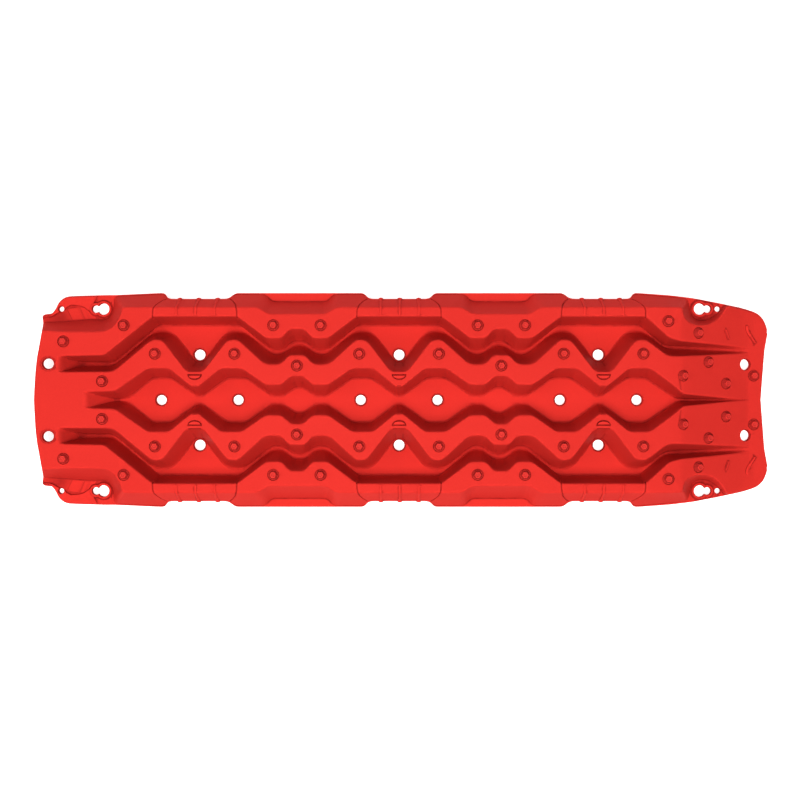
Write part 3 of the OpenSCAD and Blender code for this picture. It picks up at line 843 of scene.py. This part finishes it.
def keyhole_cut(place, outboard, face, top):
    """What is cut for a keyhole, with a chamfer at both faces."""
    bottom = face - SKIN
    profile = [(0.6, bottom - 3), (0.6, bottom), (0.0, bottom + 0.6), (0.0, top - 0.8),
               (0.25, top - 0.25), (0.8, top + 0.02), (0.8, top + 4)]
    return keyhole_solid(place, outboard, profile)


combine(board, left_and_right([keyhole_cut(*keyhole) for keyhole in KEYHOLES]), "DIFFERENCE")

# %% [markdown]
# ## The studs
# Forty-two hard plastic studs give the tyre its bite. From the bottom up each one is a barb that
# grips under the deck, a shank, a thin round foot and a six-sided tip. All of it is one profile
# of rings. The rings below the foot are circles and those above are hexagons with the same number
# of points, so a single loft closes the whole piece.

# %% One stud
RING = 30                        # points round a stud, a multiple of six


def hexagon(corner_r, softness):
    """Radius of a hexagon at RING equal angles, with softness 0 for sharp and 1 for a circle.

    A straight side seen from the centre has radius cos(30) / cos(angle from its middle).
    """
    angle = np.linspace(0, 2 * np.pi, RING, endpoint=False)
    from_middle = (angle % (np.pi / 3)) - np.pi / 6
    sharp = math.cos(np.pi / 6) / np.cos(from_middle)
    return corner_r * (sharp * (1 - softness) + 0.95 * softness)


def stud_solid(x, y):
    """One stud, square to the deck or the ramp: circles below the foot and hexagons above it."""
    lower = [(3.0, -6.8), (3.4, -6.6), (4.8, -4.4), (4.8, -4.2), (3.5, -4.1), (3.5, -1.95),
             (7.2, -1.55), (7.3, -0.6), (7.2, -0.4)]
    upper = [(7.0, -0.35, 0.5), (6.9, 0.2, 0.12), (6.6, 1.2, 0.08), (5.0, 5.2, 0.08),
             (4.8, 5.7, 0.12), (4.4, 5.98, 0.2), (3.4, 5.95, 0.3), (2.6, 5.6, 0.6), (1.2, 5.5, 1.0)]
    profile = lower + [(hexagon(radius, softness), z) for radius, z, softness in upper]
    return turned(profile, (x, y, ramp_z(x)), RING, stud_tilt(x))


studs = {}
for name, (x, y) in STUDS.items():
    for side, sign in (("left", 1), ("right", -1)):
        studs[f"stud_{name}_{side}"] = new_piece(f"insert_{name}_{side}", stud_solid(x, sign * y))
print(f"{len(studs)} studs of {len(studs['stud_tail_outer_left'].data.polygons)} faces each")

# %% [markdown]
# ## Where edges wear and where shade is painted into corners
# A tyre and the ground rub the outward edges pale and smooth. The inward corners and the flanks
# of small relief get painted shade, a darker colour as if in shadow, and a dustier roughness.
# Blender's Pointiness does the same job but a model taken out of Blender loses it. So the fold at
# each mesh edge is measured here and stored on the faces' corners, where any material can read it.

# %% Measure the folds
FULL_FOLD = 0.22                 # a mean fold of this many radians counts in full
LONG_FACE, WIDE_FACE = 3.0, 2.0  # mm; the mark of a fold fades on faces larger than this
SHADE_LEAN = 0.88                # a face leans if n.up is below this
SUNK, SPOT_DEPTH = 0.5, 3.6      # mm


def listed_spots():
    """Every spot of small relief, as (x, y, z, radius, tilt), with a millimetre or so round it."""
    spots = [(x, y, ramp_z(x), 9.0, stud_tilt(x)) for x, y in STUDS.values()]
    spots += [(x, MOON_Y - 2.6, DECK, 13.0, 0.0) for x in BAYS]
    for holes, z, radius in ((POCKET_HOLES, FLOOR + LIP_H, POCKET_HOLE_R + LIP),
                             (CHANNEL_HOLES, FLOOR + LIP_H, CHANNEL_HOLE_R + LIP),
                             ([TAIL_HOLE], DECK + LIP_H, TAIL_HOLE_R + LIP),
                             ([TAIL_LEASH], FLANGE + PLATE_H, LEASH_R + 1.4),
                             ([NOSE_LEASH], FLOOR, LEASH_R + 1.4)):
        spots += [(x, y, z, radius, 0.0) for x, y in holes]
    spots += [(*NOSE_HOLE, ramp_z(NOSE_HOLE[0]), NOSE_HOLE_R + LIP, RAMP_TILT)]
    for (x, y), outboard, face, top in KEYHOLES:
        spots += [(x, y, top - 1, KEYHOLE_R + 5.6, 0.0),
                  (x + outboard * KEYSLOT_RUN, y, top - 1, KEYSLOT_R + 5.6, 0.0)]
    for bar in NOSE_BARS:
        spots += [(x, y, ramp_z(x) - 1.5, 5.0, stud_tilt(x))
                  for x, y, z in resampled([(x, y, 0.0) for x, y in bar], 12)]
    spots += [(x, y, z, 2.6, 0.0) for x, y, z in corner_inner[::3]]
    return spots


def painted_shade_faces(centres, normals):
    """Mark the flanks and the sunk floors of the small relief, which get painted shade.

    A face is marked if it lies within a spot's radius and within SPOT_DEPTH of its plane, and if
    it either leans away from that plane, n.up < SHADE_LEAN, or is sunk in it by more than SUNK.
    """
    marked = np.zeros(len(centres), dtype=bool)
    for x, y, z, radius, tilt in listed_spots():
        up = np.array([math.sin(tilt), 0.0, math.cos(tilt)])
        facing = normals @ up
        for side in (1, -1):
            away = centres / MM - [x, side * y, z]
            height = away @ up
            reach = np.linalg.norm(away - height[:, None] * up, axis=1)
            marked |= ((reach < radius) & (np.abs(height) < SPOT_DEPTH) & (facing > -0.3)
                       & ((facing < SHADE_LEAN) | (height < -SUNK)))
    return marked


def read(items, label, width=1, kind=float):
    """One property of all the vertices, edges, corners or faces of a mesh, as an array."""
    values = np.empty(len(items) * width, dtype=kind)
    items.foreach_get(label, values)
    return values.reshape(-1, width) if width > 1 else values


def vertex_mean(edges, first, second, size):
    """The mean at each vertex of what its edges bring to their two ends, and how many they are."""
    total = np.bincount(edges[:, 0], first, size) + np.bincount(edges[:, 1], second, size)
    count = np.bincount(edges.ravel(), minlength=size)
    return total / np.maximum(count, 1), count


def store_folds(piece, reach):
    """Store two face-corner attributes between 0 and 1: ridge for worn edges, hollow for painted shade.

    The fold at an edge is the angle between the normals n1, n2 of its two faces, positive where
    (n2 - n1).(c2 - c1) > 0 for their centres c1, c2. Every vertex takes the mean fold of its
    edges, and it is spread over reach neighbours along the edges shorter than LONG_FACE. Every
    corner of a face takes its vertex's value, but a face over twice LONG_FACE takes the least of
    its corners and one twice WIDE_FACE wide takes nothing, so that a flat doesn't carry the mark
    of a fold at its end. The faces marked for painted shade are hollow in full.
    """
    mesh = piece.data
    edges = read(mesh.edges, "vertices", 2, np.int32)
    loop_edge = read(mesh.loops, "edge_index", kind=np.int32)
    totals = read(mesh.polygons, "loop_total", kind=np.int32)
    normals = read(mesh.polygons, "normal", 3)
    centres = read(mesh.polygons, "center", 3)
    loop_face = np.repeat(np.arange(len(totals)), totals)
    order = np.argsort(loop_edge, kind="stable")
    pairs = loop_face[order].reshape(-1, 2)
    turn = normals[pairs[:, 1]] - normals[pairs[:, 0]]
    apart = centres[pairs[:, 1]] - centres[pairs[:, 0]]
    angle = 2 * np.arcsin(np.clip(np.linalg.norm(turn, axis=1) / 2, 0, 1))
    fold = angle * np.sign(np.sum(turn * apart, axis=1))
    size = len(mesh.vertices)
    value, _ = vertex_mean(edges, fold, fold, size)
    points = read(mesh.vertices, "co", 3) / MM
    lengths = np.linalg.norm(points[edges[:, 0]] - points[edges[:, 1]], axis=1)
    carry = edges[lengths < LONG_FACE]
    for _ in range(reach):
        spread, count = vertex_mean(carry, value[carry[:, 1]], value[carry[:, 0]], size)
        value = np.where(count > 0, 0.5 * value + 0.5 * spread, value)
    longest = np.zeros(len(totals))
    np.maximum.at(longest, loop_face, lengths[loop_edge])
    width = read(mesh.polygons, "area") / (MM ** 2 * longest)
    narrow = np.clip(2 - width / WIDE_FACE, 0, 1)[loop_face]
    long = np.clip(longest / LONG_FACE - 1, 0, 1)[loop_face]
    loop_vertex = read(mesh.loops, "vertex_index", kind=np.int32)
    first_loop = np.concatenate([[0], np.cumsum(totals)[:-1]])
    shade_marked = painted_shade_faces(centres, normals)[loop_face]
    value = np.clip(value / FULL_FOLD, -1, 1)
    # hollow drives the painted shade: the material darkens these corners as if in shadow.
    for label, sign, in_shade in (("ridge", 1, 0.0), ("hollow", -1, 1.0)):
        corner = np.maximum(sign * value, 0)[loop_vertex]
        least = np.minimum.reduceat(corner, first_loop)[loop_face]
        corner = np.where(shade_marked, in_shade, narrow * (corner + (least - corner) * long))
        attribute = mesh.attributes.new(label, "FLOAT", "CORNER")
        attribute.data.foreach_set("value", corner.astype(np.float32))
    return value


folds = store_folds(board, 2)
for stud in studs.values():
    store_folds(stud, 1)
print(f"ridges on {np.mean(folds > 0.3):.0%} of the corners, hollows on {np.mean(folds < -0.3):.0%}")

# %% [markdown]
# ## The plastic
# The board is dyed polyamide. Its dye swirls a little along the flow, the tool leaves a fine
# eroded grain, and outward edges polish and go pale. Inward corners get painted shade, darker as
# if in shadow, with a dustier roughness. Each of these is a node group of its own, because the
# board and the studs use them with different values.

# %% Helpers for shader node groups
def new_group(name, inputs, outputs):
    """An empty shader node group; inputs and outputs are (name, socket type, default) tuples."""
    group = bpy.data.node_groups.new(name, "ShaderNodeTree")
    for in_out, sockets in (("INPUT", inputs), ("OUTPUT", outputs)):
        for label, kind, default in sockets:
            socket = group.interface.new_socket(label, in_out=in_out, socket_type=kind)
            if default is not None:
                socket.default_value = default
    return group, group.nodes.new("NodeGroupInput"), group.nodes.new("NodeGroupOutput")


def add_node(tree, kind, values=None, **settings):
    """A node with its properties set from settings and its input sockets from values."""
    node = tree.nodes.new(kind)
    for label, value in settings.items():
        setattr(node, label, value)
    for socket, value in (values or {}).items():
        if isinstance(value, bpy.types.NodeSocket):
            tree.links.new(value, node.inputs[socket])
        else:
            node.inputs[socket].default_value = value
    return node


def blend(tree, share, first, second, kind="MIX"):
    """The colour socket of a Mix node from first to second."""
    return add_node(tree, "ShaderNodeMix", {0: share, 6: first, 7: second}, data_type="RGBA",
                    blend_type=kind).outputs[2]


def remap(tree, value, low, high, to_low=0.0, to_high=1.0):
    """The output of a Map Range node, clamped."""
    return add_node(tree, "ShaderNodeMapRange", {"Value": value, "From Min": low, "From Max": high,
                                                 "To Min": to_low, "To Max": to_high}).outputs[0]


def times(tree, first, second):
    return add_node(tree, "ShaderNodeMath", {0: first, 1: second}, operation="MULTIPLY").outputs[0]


def noise(tree, vector, scale, detail, roughness=0.5, distortion=0.0):
    """The strength of a Noise Texture node."""
    values = {"Vector": vector, "Scale": scale, "Detail": detail, "Roughness": roughness,
              "Distortion": distortion}
    return add_node(tree, "ShaderNodeTexNoise", values).outputs["Fac"]


VECTOR, COLOUR, VALUE = "NodeSocketVector", "NodeSocketColor", "NodeSocketFloat"

# %% Dye swirl: cloudy streaks along the flow, with fine specks
swirl, source, sink = new_group(
    "dye swirl",
    [("Vector", VECTOR, None), ("Colour", COLOUR, None), ("Deep", COLOUR, None),
     ("Amount", VALUE, 0.5)],
    [("Colour", COLOUR, None), ("Cloud", VALUE, None)])
flow = add_node(swirl, "ShaderNodeMapping", {"Vector": source.outputs["Vector"],
                                             "Scale": (0.35, 1.0, 1.0)}).outputs[0]
cloud = noise(swirl, flow, 11.0, 4.0, 0.55, 0.8)
speck = noise(swirl, source.outputs["Vector"], 420.0, 2.0, 0.6)
total = add_node(swirl, "ShaderNodeMath", {0: cloud, 1: speck}, operation="ADD").outputs[0]
share = times(swirl, remap(swirl, total, 0.75, 1.25), source.outputs["Amount"])
swirl.links.new(blend(swirl, share, source.outputs["Colour"], source.outputs["Deep"]),
                sink.inputs["Colour"])
swirl.links.new(cloud, sink.inputs["Cloud"])

# %% Tool grain: the pitted skin that spark erosion leaves in the mould
grain, source, sink = new_group(
    "tool grain",
    [("Vector", VECTOR, None), ("Pits per metre", VALUE, 900.0), ("Strength", VALUE, 0.2)],
    [("Normal", VECTOR, None), ("Grain", VALUE, None)])
pits = noise(grain, source.outputs["Vector"], source.outputs["Pits per metre"], 3.0, 0.7)
waves = noise(grain, source.outputs["Vector"], 55.0, 1.0)
fine = add_node(grain, "ShaderNodeBump", {"Height": pits, "Distance": 0.00012,
                                          "Strength": source.outputs["Strength"]}).outputs[0]
sinks = add_node(grain, "ShaderNodeBump", {"Height": waves, "Distance": 0.0005,
                                           "Strength": source.outputs["Strength"],
                                           "Normal": fine}).outputs[0]
grain.links.new(sinks, sink.inputs["Normal"])
grain.links.new(pits, sink.inputs["Grain"])

# %% Worn edges, and painted shade with dustiness: one kind of group, made twice
def tint_group(name, scale, detail, roughness, where, cover):
    """A group that blends Colour towards Tint where Where is high, thinned by patches of noise.

    where holds the two ends of the ramp on Where. cover holds those on the noise, and the share
    of the tint at each end.
    """
    group, source, sink = new_group(
        name,
        [("Vector", VECTOR, None), ("Colour", COLOUR, None), ("Tint", COLOUR, None),
         ("Where", VALUE, 0.0), ("Amount", VALUE, 0.5)],
        [("Colour", COLOUR, None), ("Mask", VALUE, None)])
    patches = noise(group, source.outputs["Vector"], scale, detail, roughness)
    mask = times(group, remap(group, source.outputs["Where"], *where), remap(group, patches, *cover))
    mask = times(group, mask, source.outputs["Amount"])
    group.links.new(blend(group, mask, source.outputs["Colour"], source.outputs["Tint"]),
                    sink.inputs["Colour"])
    group.links.new(mask, sink.inputs["Mask"])
    return group


worn = tint_group("worn edges", 35.0, 5.0, 0.7, (0.15, 0.85), (0.35, 0.65, 0.25, 1.0))
# The second group paints shade: hollows and relief flanks darken towards its tint, in patches.
shade_dust_group = tint_group("painted shade and dustiness", 60.0, 4.0, 0.65, (0.1, 0.9), (0.3, 0.7, 0.4, 1.0))
print("node groups:", ", ".join(group.name for group in bpy.data.node_groups))


# %% The two plastics
# The first colour is the pale of worn edges; the second is painted shade, the dark red of hollows as if
# in shadow.
PALE, PAINTED_SHADE = (0.60, 0.05, 0.04, 1.0), (0.20, 0.014, 0.014, 1.0)


def dyed_plastic(name, red, deep, swirl_amount, pits, grain_strength, wear, shade_and_dustiness, roughness):
    """A red moulded plastic, its hollows painted darker as shade; roughness is (on polished edges,
    plain, in dusty corners).
    """
    material = bpy.data.materials.new(name)
    material.use_nodes = True
    tree = material.node_tree
    shader = tree.nodes["Principled BSDF"]
    shader.inputs["Specular IOR Level"].default_value = 0.01
    shader.inputs["IOR"].default_value = 1.5
    place = add_node(tree, "ShaderNodeTexCoord").outputs["Object"]
    ridge_mask = add_node(tree, "ShaderNodeAttribute", attribute_name="ridge").outputs["Fac"]
    hollow_mask = add_node(tree, "ShaderNodeAttribute", attribute_name="hollow").outputs["Fac"]

    def use(group, **values):
        return add_node(tree, "ShaderNodeGroup", {"Vector": place, **values}, node_tree=group).outputs

    dye = use(swirl, Colour=(*red, 1.0), Deep=(*deep, 1.0), Amount=swirl_amount)
    edge = use(worn, Colour=dye["Colour"], Tint=PALE, Where=ridge_mask, Amount=wear)
    # Painted shade: the hollows darken as if in shadow, and their mask also makes them rougher.
    corner = use(shade_dust_group, Colour=edge["Colour"], Tint=PAINTED_SHADE, Where=hollow_mask, Amount=shade_and_dustiness)
    skin_grain = use(grain, Strength=grain_strength, **{"Pits per metre": pits})
    polished, plain, dusty = roughness
    gloss = remap(tree, skin_grain["Grain"], 0.3, 0.7, plain - 0.04, plain + 0.04)
    cloudy = remap(tree, dye["Cloud"], 0.3, 0.7, -0.03, 0.03)
    gloss = add_node(tree, "ShaderNodeMath", {0: gloss, 1: cloudy}, operation="ADD").outputs[0]
    gloss = add_node(tree, "ShaderNodeMix", {0: edge["Mask"], 2: gloss, 3: polished}).outputs[0]
    gloss = add_node(tree, "ShaderNodeMix", {0: corner["Mask"], 2: gloss, 3: dusty}).outputs[0]
    tree.links.new(corner["Colour"], shader.inputs["Base Color"])
    tree.links.new(gloss, shader.inputs["Roughness"])
    tree.links.new(skin_grain["Normal"], shader.inputs["Normal"])
    return material


board_plastic = dyed_plastic("board polyamide", (0.50, 0.040, 0.032), (0.43, 0.031, 0.027), 0.35,
                             900.0, 0.16, 0.35, 0.75, (0.36, 0.46, 0.62))
stud_plastic = dyed_plastic("stud nylon", (0.49, 0.048, 0.041), (0.43, 0.036, 0.034), 0.3,
                            1300.0, 0.12, 0.5, 0.5, (0.32, 0.42, 0.6))

# %% [markdown]
# ## Finishing and floor
# Smooth shading rounds the small facets, but a true edge must stay crisp. Edges over SHARP degrees
# are marked sharp, and the Weighted Normal modifier makes the big flat faces set the shading.

# %% Shade the pieces and tie them to the model
SHARP = 38
for piece, node, slot, material in (
        [(board, "board", "board", board_plastic)]
        + [(stud, node, "studs", stud_plastic) for node, stud in studs.items()]):
    mesh = piece.data
    mesh.materials.clear()
    mesh.materials.append(material)
    mesh.polygons.foreach_set("use_smooth", np.ones(len(mesh.polygons), dtype=bool))
    mesh.polygons.foreach_set("material_index", np.zeros(len(mesh.polygons), dtype=np.int32))
    mesh.set_sharp_from_angle(angle=math.radians(SHARP))
    weighted = piece.modifiers.new("weighted", "WEIGHTED_NORMAL")
    weighted.keep_sharp = True
    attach(piece, "root")
    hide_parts(node)
print(f"{1 + len(studs)} pieces, the board has {len(board.data.polygons)} faces")

# %% Floor
half = 4.0                       # metres, half a side
floor_mesh = bpy.data.meshes.new("floor")
floor_mesh.from_pydata([(-half, -half, 0), (half, -half, 0), (half, half, 0), (-half, half, 0)],
                       [], [(0, 1, 2, 3)])
floor = bpy.data.objects.new("floor", floor_mesh)
bpy.context.scene.collection.objects.link(floor)
floor_paint = bpy.data.materials.new("pale floor")
floor_paint.use_nodes = True
paint = floor_paint.node_tree.nodes["Principled BSDF"]
paint.inputs["Base Color"].default_value = (0.62, 0.62, 0.62, 1.0)
paint.inputs["Roughness"].default_value = 0.8
paint.inputs["Specular IOR Level"].default_value = 0.2
paint.inputs["Emission Color"].default_value = (1.0, 1.0, 1.0, 1.0)
paint.inputs["Emission Strength"].default_value = 0.65
floor_mesh.materials.append(floor_paint)
